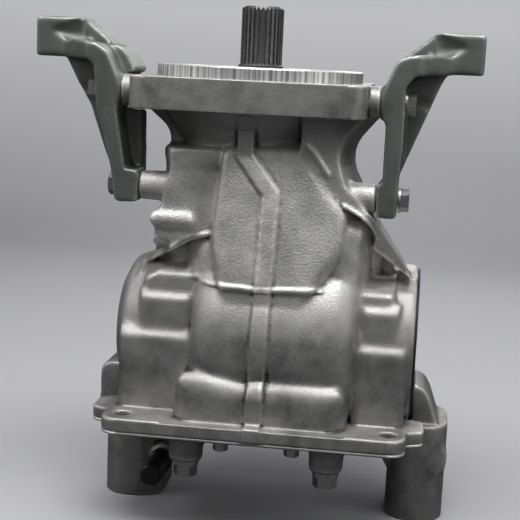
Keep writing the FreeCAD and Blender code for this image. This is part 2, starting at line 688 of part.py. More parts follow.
def ridges():
    """Thin raised lines: the bulge's foot, the edges of the right web and the brace of the left boss."""
    foot = strip_on_front([(-38, 192), (-10, 189), (14, 188), (62, 190)], 3.6, -DRUM_R)
    skins = [bulge_solid(RIDGE_PROUD)] + cheeks(RIDGE_PROUD)
    skins.append(turned_x([(DRUM_X0, 0), (DRUM_X0, DRUM_R + RIDGE_PROUD, DRUM_ROUND),
                           (DRUM_X1, DRUM_R + RIDGE_PROUD), (DRUM_X1, 0)]))
    lines = [foot.common(skin) for skin in skins]
    lines.append(strip_on_front([(-80, 196), (-60, 209), (FOLD_X, 221), (-24, 226)], 3.6, PANEL_Y + 2))
    for line in ([(46, 296), (52, 289), (62, 275)], [(74, 253), (87, 246), (95, 239), (99, 230)],
                 [(97, 221), (110, 211), (126, 198)]):
        lines.append(strip_on_front(line, 2.6, PANEL_Y - 1 - RIDGE_PROUD))
    return [line for line in lines if line.Volume > 1]


def rear_ribs():
    """Stiffening ribs behind the neck, from the plate down to the flange."""
    half = RIB_W / 2
    middle = prism_x([(40, PLATE_Z0 + 1), (78, PLATE_Z0 + 1), (NECK_R + 6, 290, 20), (NECK_R + 8, 235, 20),
                      (DRUM_R + 1, 170, 30), (DRUM_R + 2, 110), (FLANGE_Y + RIB_PROUD, FLANGE_Z1 + 8, 6),
                      (FLANGE_Y + RIB_PROUD, FLANGE_Z0), (60, FLANGE_Z0)], -half, half)
    ribs = [middle]
    for side in (-1, 1):
        ribs.append(prism_x([(20, PLATE_Z0 + 1), (76, PLATE_Z0 + 1), (46, 285, 20), (48, 235, 30),
                             (DRUM_R - 12, 190), (30, 190)], side * 34 - 4, side * 34 + 4))
    return ribs


def cavity():
    """Hollow inside the casting: gear room, bead trough, side bores, neck bore and bearing seats."""
    room = turned_x([(CAVITY_X0, 0), (CAVITY_X0, CAVITY_R, DRUM_ROUND - WALL),
                     (CAVITY_X1, CAVITY_R, DRUM_ROUND - WALL), (CAVITY_X1, 0)])
    mouth = prism_z(box_corners(CAVITY_X0 + 4, CAVITY_X1 - 4, -CAVITY_R + 2, CAVITY_R - 2, 14),
                    FLANGE_Z0 - 1,
                    AXLE_Z)
    trough = prism_x(bead_section(WALL), BEAD_X0 + 2 * WALL, BEAD_X1 - 2 * WALL)
    bores = rod((BOSS_X0 - 1, 0, AXLE_Z), (1, 0, 0), BOSS_X1 - BOSS_X0 + 2, SIDE_BORE_R)
    head_room = turned_z([(0, AXLE_Z), (HEAD_CUP_R, AXLE_Z), (HEAD_CUP_R, HEAD_CUP_Z + HEAD_CUP_W),
                          (TAIL_CUP_R - 5, HEAD_CUP_Z + HEAD_CUP_W), (TAIL_CUP_R - 5, TAIL_CUP_Z),
                          (TAIL_CUP_R, TAIL_CUP_Z), (TAIL_CUP_R, PLATE_TOP + 1), (0, PLATE_TOP + 1)])
    recess = rod((0, 0, PLATE_TOP), (0, 0, -1), PILOT_SINK, PILOT_R + PILOT_RELIEF)
    return [room, mouth, trough, bores, head_room, recess]


def bolt_holes():
    """All drilled and tapped holes of the casting."""
    holes = []
    for side, low in ((-1, LEFT_LOW_SEAT), (1, RIGHT_LOW_SEAT)):
        holes.append(rod((side * UP_SEAT, BOLT_Y, BOLT_UP_Z), (-side, 0, 0), BOLT_GRIP + 4, BOLT_R))
        holes.append(rod((low, BOLT_Y, BOLT_LOW_Z), (-side, 0, 0), BOLT_GRIP + 4, BOLT_R))
    for x in (-PLATE_HOLE_X / 2, PLATE_HOLE_X / 2):
        for y in (-PLATE_HOLE_Y / 2, PLATE_HOLE_Y / 2):
            holes.append(rod((x, y, PLATE_TOP), (0, 0, -1), PLATE_HOLE_DEPTH, PLATE_HOLE_R))
    for number in range(6):
        angle = math.radians(60 * number + 30)
        x = PILOT_SCREW_PCD / 2 * math.cos(angle)
        y = PILOT_SCREW_PCD / 2 * math.sin(angle)
        holes.append(rod((x, y, PLATE_TOP), (0, 0, -1), 12, 3.0))
    for x, y in ear_places():
        holes.append(rod((x, y, FLANGE_Z0 - 1), (0, 0, 1), FLANGE_T + 4, EAR_HOLE_R))
    for x, y in cover_bolt_places():
        holes.append(rod((x, y, FLANGE_Z0 - 1), (0, 0, 1), FLANGE_T - 1, COVER_BOLT_R))
    return holes


def carrier_housing():
    """The main casting."""
    plate = prism_z(box_corners(-PLATE_X, PLATE_X, -PLATE_Y, PLATE_Y, PLATE_CORNER), PLATE_Z0, PLATE_TOP)
    forms = [plate] + neck() + left_panel() + right_panel() + cheeks(0) + bracket_bosses() + drum() + steps()
    forms += [bulge_solid(0), bead_solid(0)] + flange() + rib() + ridges() + rear_ribs()
    body = forms[0].fuse(forms[1:])
    hollow = cavity()
    below = prism_z(box_corners(BOSS_X0 - 20, BOSS_X1 + 20, -FLANGE_Y - 9, FLANGE_Y + 9), 0, FLANGE_Z0)
    body = body.cut(hollow[0].fuse(hollow[1:] + [below]))
    return body.cut(Part.makeCompound(bolt_holes())).removeSplitter()


def foot(x0, x1):
    """Oblong mount leg with a flat foot and a tapped hole from below."""
    return prism_z(box_corners(x0, x1, FOOT_Y0, FOOT_Y1, 21), 0, LIP_Z0 + 2)


def rear_cover():
    """Bottom cover: lip, dome under the ring gear, plug bosses and the two mount legs."""
    lip = prism_z(flange_outline(), LIP_Z0, FLANGE_Z0)
    plate_corners = box_corners(FLANGE_X0 + 12, FLANGE_X1 - 12, -FLANGE_Y + COVER_INSET,
                                FLANGE_Y - COVER_INSET, 14)
    plate = prism_z(plate_corners, FLANGE_Z0 - COVER_PLATE_T, FLANGE_Z0)
    barrel = turned_x([(DRUM_X0, 0), (DRUM_X0, DRUM_R, DRUM_ROUND), (DRUM_X1, DRUM_R, DRUM_ROUND),
                       (DRUM_X1, 0)])
    below = prism_z(box_corners(FLANGE_X0 - 60, FLANGE_X1 + 60, -FLANGE_Y - 9, FLANGE_Y + 9), 0, FLANGE_Z0)
    dome = barrel.common(below)
    pockets = [rod((x, PLUG_Y, PLUG_BOSS_Z), (0, 0, 1), FLANGE_Z0 - PLUG_BOSS_Z, PLUG_BOSS_R)
               for x in (PLUG_LEFT_X, PLUG_RIGHT_X)]
    left_leg = foot(LEFT_FOOT_X0, LEFT_FOOT_X1)
    left_tower = prism_y([(-119, LIP_Z0 - 10), (-119, 108, 9), (BOSS_X0 - 1, 108),
                          (BOSS_X0 - 1, LIP_Z0 - 10)],
                         -12, 34)
    right_leg = foot(RIGHT_FOOT_X0, RIGHT_FOOT_X1)
    right_tower = prism_y([(BOSS_X1 + 2, 40), (RIGHT_FOOT_X1, 40), (RIGHT_FOOT_X1 + 1, 53), (149, 98, 5),
                           (144, 106, 5), (BOSS_X1 + 2, 110)], FOOT_Y0 + 8, FOOT_Y1 - 8)
    web = prism_y([(94, LIP_Z0 + 2), (RIGHT_FOOT_X0 + 8, 24), (RIGHT_FOOT_X0 + 16, LIP_Z0 + 2)], -12, 34)
    breather_boss = rod((BREATHER_X, FOOT_Y0, BREATHER_Z), (0, 1, 0), 34, BREATHER_BOSS_R)
    body = joined([lip, plate, dome, left_leg, left_tower, right_leg, right_tower, web,
                   breather_boss] + pockets)
    room = turned_x([(CAVITY_X0, 0), (CAVITY_X0, CAVITY_R, DRUM_ROUND - WALL),
                     (CAVITY_X1, CAVITY_R, DRUM_ROUND - WALL), (CAVITY_X1, 0)])
    cuts = [room]
    for x in (PLUG_LEFT_X, PLUG_RIGHT_X):
        cuts.append(rod((x, PLUG_Y, PLUG_BOSS_Z - 1), (0, 0, 1), FLANGE_Z0 - PLUG_BOSS_Z + 2, PLUG_R))
    for x, y in ear_places():
        cuts.append(rod((x, y, LIP_Z0 - 1), (0, 0, 1), LIP_T + 2, EAR_HOLE_R))
    for x, y in cover_bolt_places():
        cuts.append(rod((x, y, LIP_Z0 - 1), (0, 0, 1), LIP_T + 2, COVER_BOLT_R))
    for x in foot_centres():
        cuts.append(rod((x, (FOOT_Y0 + FOOT_Y1) / 2, -1), (0, 0, 1), FOOT_HOLE_DEPTH + 1, FOOT_HOLE_R))
    cuts.append(rod((BREATHER_X, FOOT_Y0 - 8, BREATHER_Z), (0, 1, 0), 30, STUB_R))
    return body.cut(cuts[0].fuse(cuts[1:])).removeSplitter()


def foot_centres():
    """X of the tapped hole in each foot."""
    return [(LEFT_FOOT_X0 + LEFT_FOOT_X1) / 2, (RIGHT_FOOT_X0 + RIGHT_FOOT_X1) / 2]


def cover_bolts():
    """Flange bolts under the cover's lip."""
    bolt = flange_bolt(COVER_BOLT_R, FLANGE_T, 10.0, 6.5)
    return Part.makeCompound([placed(bolt, (x, y, LIP_Z0), (0, 0, -1)) for x, y in cover_bolt_places()])


def bracket_bolts():
    """Four equal bolts that hold the two brackets."""
    bolts = []
    for side, low_seat in ((-1, LEFT_LOW_SEAT), (1, RIGHT_LOW_SEAT)):
        upper = flange_bolt(BOLT_R, BOLT_GRIP + 18, BOLT_AF, BOLT_HEAD)
        bolts.append(placed(upper, (side * (UP_SEAT + 18), BOLT_Y, BOLT_UP_Z), (side, 0, 0)))
        low_bolt = flange_bolt(BOLT_R, BOLT_GRIP + 16, BOLT_AF, BOLT_HEAD)
        bolts.append(placed(low_bolt, (low_seat + side * 16, BOLT_Y, BOLT_LOW_Z), (side, 0, 0)))
    return Part.makeCompound(bolts)


def bracket_pad(side):
    """Mount block at the bracket's outer end, its gusset and the spoon-shaped recess in its front."""
    inner, outer = side * PAD_X_IN, side * PAD_X_OUT
    block = prism_z(box_corners(min(inner, outer), max(inner, outer), PAD_Y0, PAD_Y1, 2.5), PAD_Z0, PAD_Z1)
    gusset = prism_y([(inner + side * 2, PAD_Z1), (inner, PAD_Z1), (side * 109, 361), (side * 109, PAD_Z0),
                      (inner + side * 2, PAD_Z0)], PAD_Y0 + 12, PAD_Y1 - 8)
    spoon = Part.makeCone(0, 12, 28, V(side * 160, PAD_Y0 - 1, 371), V(-side, 0, 0))
    return block.fuse(gusset), spoon


def bracket_plan(side):
    """Plan shape that bends a bracket from the bolts at the front back to its pad."""
    corners = [(side * 172, PAD_Y0), (side * 148, PAD_Y0, 14), (side * 122, BOLT_Y - 13, 14),
               (side * 78, BOLT_Y - 13), (side * 78, BOLT_Y + 12), (side * 116, BOLT_Y + 12, 10),
               (side * 142, PAD_Y0 + 24, 10), (side * 172, PAD_Y0 + 24)]
    return prism_z(corners, BOLT_LOW_Z - 20, PAD_Z1)


def left_bracket():
    """Left mount bracket: a bent band, a set-back web, a knee and the pad."""
    band = prism_y([(-150, 369, 3), (-150, PAD_Z0), (-122, 350.5, 9), (-117, 346, 4), (-115, 316),
                    (-109, 297), (-102, 270), (-99.5, 249, 4), (-97, 245.5, 4), (LEFT_LOW_SEAT, 246.5),
                    (LEFT_LOW_SEAT, 270.5),
                    (-91, 271), (-98, 312), (-98, 339), (-107, 358, 9), (-116, 363, 12)], BOLT_Y - 20,
                    PAD_Y1)
    band = band.common(bracket_plan(-1))
    knee = prism_y([(-116, 363), (-101, 362, 12), (-89, 343, 8), (-UP_SEAT - GAP, 341.5),
                    (-UP_SEAT - 1, 330), (-102, 310), (-116, 320)], BOLT_Y + 10, PAD_Y1 - 8)
    web = prism_y([(-145, PAD_Z0 + 1), (-134, 331), (-125, 317), (-112, 280), (-99, 250),
                   (LEFT_LOW_SEAT - 2, 250),
                   (LEFT_LOW_SEAT - 3, 314), (-97, 316), (-98, 330), (-112, PAD_Z0 + 1)], BOLT_Y + 10,
                   BOLT_Y + 28)
    boss = rod((-UP_SEAT, BOLT_Y, BOLT_UP_Z), (-1, 0, 0), 18, BOSS_UP_R + 0.5)
    pad, spoon = bracket_pad(-1)
    body = band.fuse([knee, web, boss, pad]).cut(spoon)
    return drilled_bracket(body, -1, LEFT_LOW_SEAT)


def right_bracket():
    """Right mount bracket. Its arm hangs straight down."""
    band = prism_y([(150, 367, 3), (150, PAD_Z0), (120, 349, 6), (114, 341, 6), (114.5, 318), (114.5, 296),
                    (113, 273), (113, 247, 3), (111, 245, 3), (RIGHT_LOW_SEAT, 245.5), (RIGHT_LOW_SEAT, 270),
                    (101, 272), (101, 314), (98, 318), (98, 338), (101, 346, 12), (107, 361, 14),
                    (118, 364, 8)],
                   BOLT_Y - 20, PAD_Y1)
    band = band.common(bracket_plan(1))
    web = prism_y([(144, PAD_Z0 + 1), (139, 343), (112, 273), (110, 250), (101, 250), (101, 336),
                   (108, PAD_Z0 + 1)], BOLT_Y + 10, BOLT_Y + 26)
    boss = rod((UP_SEAT, BOLT_Y, BOLT_UP_Z), (1, 0, 0), 18, BOSS_UP_R + 0.5)
    pad, spoon = bracket_pad(1)
    body = band.fuse([web, boss, pad]).cut(spoon)
    return drilled_bracket(body, 1, RIGHT_LOW_SEAT)


def drilled_bracket(body, side, low_seat):
    """Cuts the bolt holes, faces the seats and clears the bolt heads."""
    pad_x = side * (PAD_X_IN + PAD_X_OUT) / 2
    holes = [rod((pad_x, PAD_HOLE_Y, PAD_Z0 - 1), (0, 0, 1), PAD_Z1 - PAD_Z0 + 2, PAD_HOLE_R),
             rod((side * (UP_SEAT - 8), BOLT_Y, BOLT_UP_Z), (side, 0, 0), 40, BOLT_R),
             rod((low_seat - side * 8, BOLT_Y, BOLT_LOW_Z), (side, 0, 0), 40, BOLT_R),
             rod((side * (UP_SEAT + 18), BOLT_Y, BOLT_UP_Z), (side, 0, 0), 30, BOLT_AF * 0.62 + 1.5),
             rod((low_seat + side * 16, BOLT_Y, BOLT_LOW_Z), (side, 0, 0), 30, BOLT_AF * 0.62 + 1.5)]
    return body.cut(holes[0].fuse(holes[1:])).removeSplitter()


def diff_case():
    """Case that carries the ring gear and holds the small gears, with two windows."""
    left_face = CASE_X - CASE_IN_HALF - 11
    flange_end = CASE_FLANGE_X + CASE_FLANGE_T
    right_hub = RIGHT_CUP_X
    shell = turned_x([(LEFT_CUP_X, 0), (LEFT_CUP_X, HUB_R), (CAVITY_X0, HUB_R), (CAVITY_X0, 31),
                      (left_face + 4, 34),
                      (CASE_X - 24, CASE_R), (CASE_FLANGE_X, CASE_R), (CASE_FLANGE_X, CASE_FLANGE_R),
                      (flange_end, CASE_FLANGE_R), (flange_end, 44), (right_hub - 6, 31), (right_hub, 31),
                      (right_hub, HUB_R), (right_hub + SIDE_CUP_W, HUB_R), (right_hub + SIDE_CUP_W, 0)])
    chamber = turned_x([(CASE_X - CASE_IN_HALF, 0), (CASE_X - CASE_IN_HALF, 30), (CASE_X - 14, CASE_IN_R),
                        (CASE_X + 14, CASE_IN_R), (CASE_X + CASE_IN_HALF, 30), (CASE_X + CASE_IN_HALF, 0)])
    bore = rod((LEFT_CUP_X - 1, 0, AXLE_Z), (1, 0, 0), 200, GEAR_HUB_R + RUN)
    pin_hole = rod((CASE_X, 0, AXLE_Z - CASE_R - 1), (0, 0, 1), 2 * CASE_R + 2, PIN_R)
    windows = prism_y(box_corners(CASE_X - 15, CASE_X + 15, AXLE_Z - 19, AXLE_Z + 19, 9), -CASE_R - 1,
                      CASE_R + 1)
    cuts = [chamber, bore, pin_hole, windows]
    for x, y, z in ring_bolt_places():
        cuts.append(rod((CASE_FLANGE_X - 1, y, z), (1, 0, 0), CASE_FLANGE_T + 2, RING_BOLT_R))
    return shell.cut(cuts[0].fuse(cuts[1:])).removeSplitter()


def ring_bolt_places():
    """Where the ring gear's bolts sit on the case flange."""
    places = []
    for number in range(RING_BOLTS):
        angle = math.radians(360.0 * number / RING_BOLTS)
        places.append((CASE_FLANGE_X + CASE_FLANGE_T, RING_BOLT_PCD / 2 * math.cos(angle),
                       AXLE_Z + RING_BOLT_PCD / 2 * math.sin(angle)))
    return places


def ring_gear():
    """Large bevel gear, bolted to the case's flange."""
    back = [(CASE_R, 20.0), (CASE_R, RING_BACK_X), (RING_R - 6, RING_BACK_X), (RING_R - 2, RING_BACK_X - 4)]
    gear = bevel_gear(RING_TEETH, PINION_TEETH, RING_MODULE, RING_FACE, back, False)
    gear = placed(gear, (0, 0, AXLE_Z), (1, 0, 0))
    holes = [rod((RING_BACK_X, y, z), (-1, 0, 0), 12, RING_BOLT_R) for x, y, z in ring_bolt_places()]
    return gear.cut(Part.makeCompound(holes))


def ring_gear_bolts():
    """Bolts through the case flange into the ring gear."""
    bolt = flange_bolt(RING_BOLT_R, CASE_FLANGE_T + 11, 13.0, 6.0)
    return Part.makeCompound([placed(bolt, place, (1, 0, 0)) for place in ring_bolt_places()])


def side_gear(direction):
    """Side gear of the differential. The half shaft goes in its bore."""
    tip = SPIDER_R
    back_z = CASE_IN_HALF - WASHER_T - 0.1
    back = [(GEAR_BORE_R, tip * 0.62), (GEAR_BORE_R, back_z + 9), (GEAR_HUB_R, back_z + 9),
            (GEAR_HUB_R, back_z), (SIDE_R - 3, back_z)]
    gear = bevel_gear(SIDE_TEETH, SPIDER_TEETH, DIFF_MODULE, DIFF_FACE, back, False)
    return placed(gear, (CASE_X, 0, AXLE_Z), (direction, 0, 0))


def spider_gear(direction):
    """Small gear that turns on the cross pin."""
    back_z = SPIDER_SEAT - WASHER_T - 0.1
    back = [(PIN_R + RUN, SIDE_R * 0.66), (PIN_R + RUN, back_z), (10, back_z)]
    gear = bevel_gear(SPIDER_TEETH, SIDE_TEETH, DIFF_MODULE, DIFF_FACE, back, True)
    return placed(gear, (CASE_X, 0, AXLE_Z), (0, 0, direction))


def thrust_washers():
    """Washers between the gears' backs and the case."""
    rings = []
    for side in (-1, 1):
        x0 = CASE_X + side * (CASE_IN_HALF - WASHER_T)
        x1 = CASE_X + side * CASE_IN_HALF
        rings.append(ring_x(min(x0, x1), max(x0, x1), 26, GEAR_HUB_R + GAP))
        start = (CASE_X, 0, AXLE_Z + side * (SPIDER_SEAT - WASHER_T))
        washer = rod(start, (0, 0, side), WASHER_T, 10).cut(rod(start, (0, 0, side), WASHER_T, PIN_R))
        rings.append(washer)
    return Part.makeCompound(rings)


def cross_pin():
    """Pin through the case that carries the spider gears."""
    return rod((CASE_X, 0, AXLE_Z - CASE_R + 1), (0, 0, 1), 2 * CASE_R - 2, PIN_R)


def side_adjuster(left):
    """Threaded ring that sets a side bearing, with a row of slots for a pin wrench."""
    width = 8.0
    x0 = LEFT_CUP_X - width if left else RIGHT_CUP_X + SIDE_CUP_W
    ring = ring_x(x0, x0 + width, SIDE_BORE_R, SIDE_BORE_R - 8)
    outside = x0 - 1 if left else x0 + width - 3
    slots = []
    for number in range(8):
        slot = prism_x(box_corners(-3, 3, AXLE_Z + SIDE_BORE_R - 9, AXLE_Z + SIDE_BORE_R - 4), outside,
                       outside + 4)
        slot.rotate(V(0, 0, AXLE_Z), V(1, 0, 0), 45 * number)
        slots.append(slot)
    return ring.cut(Part.makeCompound(slots))


def seal_carrier(left):
    """Pressed ring at the mouth of a side bore, which holds the output seal."""
    x0, x1 = (BOSS_X0 + 1.5, BOSS_X0 + 18) if left else (BOSS_X1 - 18, BOSS_X1 - 1.5)
    step = x1 - 4 if left else x0 + 4
    if left:
        corners = [(x0, SIDE_BORE_R), (x0, SEAL_SEAT_R), (step, SEAL_SEAT_R), (step, 22), (x1, 22),
                   (x1, SIDE_BORE_R)]
    else:
        corners = [(x0, SIDE_BORE_R), (x0, 22), (step, 22), (step, SEAL_SEAT_R), (x1, SEAL_SEAT_R),
                   (x1, SIDE_BORE_R)]
    return turned_x(corners)


def output_seal(left):
    """Lip seal for the half shaft."""
    x0, x1 = (BOSS_X0 + 4, BOSS_X0 + 14) if left else (BOSS_X1 - 14, BOSS_X1 - 4)
    lip = x1 - 3 if left else x0 + 3
    return turned_x([(x0, SEAL_SEAT_R), (x1, SEAL_SEAT_R), (x1, 22.5), (lip, SHAFT_HOLE_R), (x0, 22.5)])


def boss_ring():
    """Black sealing ring in the end face of the right boss."""
    return ring_x(BOSS_X1, BOSS_X1 + 1.2, BOSS_R - 3, BOSS_R - 9)


def plug(x):
    """Hexagon plug of the oil room, with its shank up in the boss."""
    body = flange_bolt(PLUG_R, 16, PLUG_HEAD_AF, PLUG_HEAD)
    return placed(body, (x, PLUG_Y, PLUG_BOSS_Z - PLUG_WASHER_T), (0, 0, -1))


def plug_washers():
    """Sealing washers under the two plugs."""
    rings = []
    for x in (PLUG_LEFT_X, PLUG_RIGHT_X):
        base = (x, PLUG_Y, PLUG_BOSS_Z - PLUG_WASHER_T)
        rings.append(rod(base, (0, 0, 1), PLUG_WASHER_T,
                         10.5).cut(rod(base, (0, 0, 1), PLUG_WASHER_T, PLUG_R)))
    return Part.makeCompound(rings)


def breather_fitting():
    """Light metal stub screwed into the left leg, where the breather cap sits."""
    start = (BREATHER_X, FOOT_Y0 + 22, BREATHER_Z)
    stub = rod(start, (0, -1, 0), 50, STUB_R)
    collar = hexagon(14, 0, 7)
    collar = placed(collar, (BREATHER_X, FOOT_Y0, BREATHER_Z), (0, -1, 0))
    return joined([stub, collar])


def breather_cap():
    """Black cap over the breather stub."""
    front = FOOT_Y0 - 48
    profile = [(0, 0), (CAP_R - 1, 0), (CAP_R, 1), (CAP_R, 30), (CAP_R + 1.2, 31), (CAP_R + 1.2, 39),
               (5, 39), (5, 20), (0, 20)]
    cap = turned_z(profile)
    return placed(cap, (BREATHER_X, front, BREATHER_Z), (0, 1, 0))


def build():
    """All nodes by name."""
    head_cup, head_cone = head_bearing()
    tail_cup, tail_cone = tail_bearing()
    left_cup, left_cone = side_bearing(True)
    right_cup, right_cone = side_bearing(False)
    return {
        "carrier_housing": carrier_housing(),
        "rear_cover": rear_cover(),
        "cover_bolts": cover_bolts(),
        "left_mount_bracket": left_bracket(),
        "right_mount_bracket": right_bracket(),
        "bracket_bolts": bracket_bolts(),
        "pilot_disc": pilot_disc(),
        "pilot_screws": pilot_screws(),
        "input_seal": input_seal(),
        "drive_pinion": drive_pinion(),
        "pinion_head_bearing_cup": head_cup,
        "pinion_head_bearing_cone": head_cone,
        "pinion_tail_bearing_cup": tail_cup,
        "pinion_tail_bearing_cone": tail_cone,
        "crush_sleeve": crush_sleeve(),
        "pinion_nut": pinion_nut(),
        "ring_gear": ring_gear(),
        "ring_gear_bolts": ring_gear_bolts(),
        "diff_case": diff_case(),
        "cross_pin": cross_pin(),
        "thrust_washers": thrust_washers(),
        "left_side_gear": side_gear(-1),
        "right_side_gear": side_gear(1),
        "upper_spider_gear": spider_gear(1),
        "lower_spider_gear": spider_gear(-1),
        "left_side_bearing_cup": left_cup,
        "left_side_bearing_cone": left_cone,
        "right_side_bearing_cup": right_cup,
        "right_side_bearing_cone": right_cone,
        "left_bearing_adjuster": side_adjuster(True),
        "right_bearing_adjuster": side_adjuster(False),
        "left_seal_carrier": seal_carrier(True),
        "right_seal_carrier": seal_carrier(False),
        "left_output_seal": output_seal(True),
        "right_output_seal": output_seal(False),
        "right_boss_ring": boss_ring(),
        "drain_plug": plug(PLUG_LEFT_X),
        "fill_plug": plug(PLUG_RIGHT_X),
        "plug_washers": plug_washers(),
        "breather_fitting": breather_fitting(),
        "breather_cap": breather_cap(),
    }


def main():
    """Writes one STEP file for each node."""
    os.makedirs("parts", exist_ok=True)
    for name, shape in build().items():
        shape.exportStep("parts/%s.step" % name)


main()
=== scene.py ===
import json
import math

import bmesh
import bpy
import numpy as np
from mathutils import Matrix, Vector


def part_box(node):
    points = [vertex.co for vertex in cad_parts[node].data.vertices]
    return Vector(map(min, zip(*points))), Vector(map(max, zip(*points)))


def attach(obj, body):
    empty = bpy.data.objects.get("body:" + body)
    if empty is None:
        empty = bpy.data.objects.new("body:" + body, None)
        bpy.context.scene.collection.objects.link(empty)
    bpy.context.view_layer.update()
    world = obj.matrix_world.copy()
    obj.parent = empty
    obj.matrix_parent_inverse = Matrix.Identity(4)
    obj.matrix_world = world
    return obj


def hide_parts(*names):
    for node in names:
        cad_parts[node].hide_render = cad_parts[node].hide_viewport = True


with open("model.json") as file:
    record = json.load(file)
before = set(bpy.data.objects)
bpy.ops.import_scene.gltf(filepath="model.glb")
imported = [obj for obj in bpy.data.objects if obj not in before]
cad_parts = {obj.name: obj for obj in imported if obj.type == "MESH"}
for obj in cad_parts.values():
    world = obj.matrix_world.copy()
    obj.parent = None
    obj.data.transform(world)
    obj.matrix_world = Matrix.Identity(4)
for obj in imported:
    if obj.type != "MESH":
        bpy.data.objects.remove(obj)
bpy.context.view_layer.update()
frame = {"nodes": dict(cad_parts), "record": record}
nodes = frame["nodes"]
MM = 0.001

# Heights and places on the carrier, in millimetres
PLATE_FOOT = 317.0
FLANGE_TOP = 88.0
FLANGE_FOOT = 76.0
AXLE_Z = 140.0
DISC_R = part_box("pilot_disc")[1].x / MM
FRONT_Y = -38.0

# Heights between which the casting's orange peel fades, painted light makes it lighter upwards and painted
# shade darkens the neck under the plate, in millimetres
PEEL_FADES_IN = (135.0, 205.0)
PEEL_FADES_OUT = (290.0, 318.0)
PAINTED_LIGHT_HEIGHTS = (150.0, 205.0)
NECK_PAINTED_SHADE = (285.0, 305.0)

# Thin lines on the casting's front, as (x, z) points in millimetres
RIB_LINE = [(-0.2, 317.0), (-0.2, 286.0), (20.5, 259.0), (18.6, 184.0), (17.6, 79.0)]
BRACE_LINE = [(-80, 196), (-60, 209), (-40, 221), (-24, 226)]
RIDGE_LINES = [
    [(-38, 192), (-10, 189), (14, 188), (62, 190)],
    BRACE_LINE,
    [(46, 296), (52, 289), (62, 275)],
    [(74, 253), (87, 246), (95, 239), (99, 230)],
    [(97, 221), (110, 211), (126, 198)],
]
RIB_REACH = 20.0
RIB_HALF = 6.2
RIB_RISE = 0.9
GROOVE_AT = 7.6
GROOVE_HALF = 1.5
GROOVE_DEPTH = 0.8
RIDGE_REACH = 2.6
RIDGE_RISE = 0.8

# Set-back of the right web and the left brace, and shift of the bead, in millimetres
WEB_X = (88.0, 96.0)
WEB_Z = (202.0, 250.0)
WEB_Y = (-63.0, -16.0)
WEB_SET_BACK = 31.0
BRACE_X = (-62.0, -54.0)
BRACE_Y = (-60.0, -20.0)
BRACE_TOP = (214.0, 218.0)
BRACE_REACH = 9.0
BRACE_PLAN = [(-90, -27), (-60, -46), (-40, -59)]
BLADES_FOOT = (188.0, 194.0)
BEAD_BACK_Y = -78.0
BEAD_FOOT = (97.0, 121.0)
BEAD_TOP = (124.0, 132.0)
BEAD_RISE = [(-60, 3.5), (-20, 3.5), (8, -2), (20, 0), (70, 0)]


# Finishes

def shader(name, metallic, roughness, colour=(0.5, 0.5, 0.5)):
    """New material with a Principled shader. Returns the material, its nodes, its links and the shader."""
    material = bpy.data.materials.new(name)
    material.use_nodes = True
    tree = material.node_tree
    tree.nodes.clear()
    principled = tree.nodes.new("ShaderNodeBsdfPrincipled")
    output = tree.nodes.new("ShaderNodeOutputMaterial")
    tree.links.new(principled.outputs["BSDF"], output.inputs["Surface"])
    principled.inputs["Metallic"].default_value = metallic
    principled.inputs["Roughness"].default_value = roughness
    principled.inputs["Base Color"].default_value = (*colour, 1)
    return material, tree.nodes, tree.links, principled


def object_points(tree_nodes):
    """Socket with the object's own coordinates."""
    return tree_nodes.new("ShaderNodeTexCoord").outputs["Object"]


def noise(tree_nodes, links, points, grain_mm, detail=2.0, roughness=0.5, stretch=(1, 1, 1)):
    """Socket with noise whose grain is about grain_mm wide."""
    mapping = tree_nodes.new("ShaderNodeMapping")
    mapping.inputs["Scale"].default_value = stretch
    links.new(points, mapping.inputs["Vector"])
    texture = tree_nodes.new("ShaderNodeTexNoise")
    texture.inputs["Scale"].default_value = 1 / (grain_mm * MM)
    texture.inputs["Detail"].default_value = detail
    texture.inputs["Roughness"].default_value = roughness
    links.new(mapping.outputs["Vector"], texture.inputs["Vector"])
    return texture.outputs["Fac"]


def ramp(tree_nodes, links, value, stops):
    """Socket with a colour for each value, from (position, colour) stops."""
    node = tree_nodes.new("ShaderNodeValToRGB")
    elements = node.color_ramp.elements
    while len(elements) < len(stops):
        elements.new(0.5)
    for element, (position, colour) in zip(elements, stops):
        element.position = position
        element.color = (*colour, 1)
    links.new(value, node.inputs["Fac"])
    return node.outputs["Color"]


def scaled(tree_nodes, links, value, low, high, to_low, to_high):
    """Socket with value moved from one range to another, held at its ends."""
    node = tree_nodes.new("ShaderNodeMapRange")
    for socket, number in (("From Min", low), ("From Max", high), ("To Min", to_low), ("To Max", to_high)):
        node.inputs[socket].default_value = number
    links.new(value, node.inputs["Value"])
    return node.outputs["Result"]


def math_node(tree_nodes, links, operation, first, second=None):
    """Socket with the result of a math operation on one or two sockets or numbers."""
    node = tree_nodes.new("ShaderNodeMath")
    node.operation = operation
    for index, value in enumerate((first, second)):
        if isinstance(value, (int, float)):
            node.inputs[index].default_value = value
        elif value is not None:
            links.new(value, node.inputs[index])
    return node.outputs["Value"]


def bump(tree_nodes, links, principled, heights):
    """Chains bumps from (height socket, depth in mm, strength) onto the shader's normal."""
    normal = None
    for height, depth_mm, strength in heights:
        node = tree_nodes.new("ShaderNodeBump")
        node.inputs["Distance"].default_value = depth_mm * MM
        node.inputs["Strength"].default_value = strength
        links.new(height, node.inputs["Height"])
        if normal is not None:
            links.new(normal, node.inputs["Normal"])
        normal = node.outputs["Normal"]
    links.new(normal, principled.inputs["Normal"])


def by_height(tree_nodes, links, split, heights, to_low, to_high):
    """Socket that goes from to_low to to_high between two heights in millimetres."""
    return scaled(tree_nodes, links, split.outputs["Z"], heights[0] * MM, heights[1] * MM, to_low, to_high)


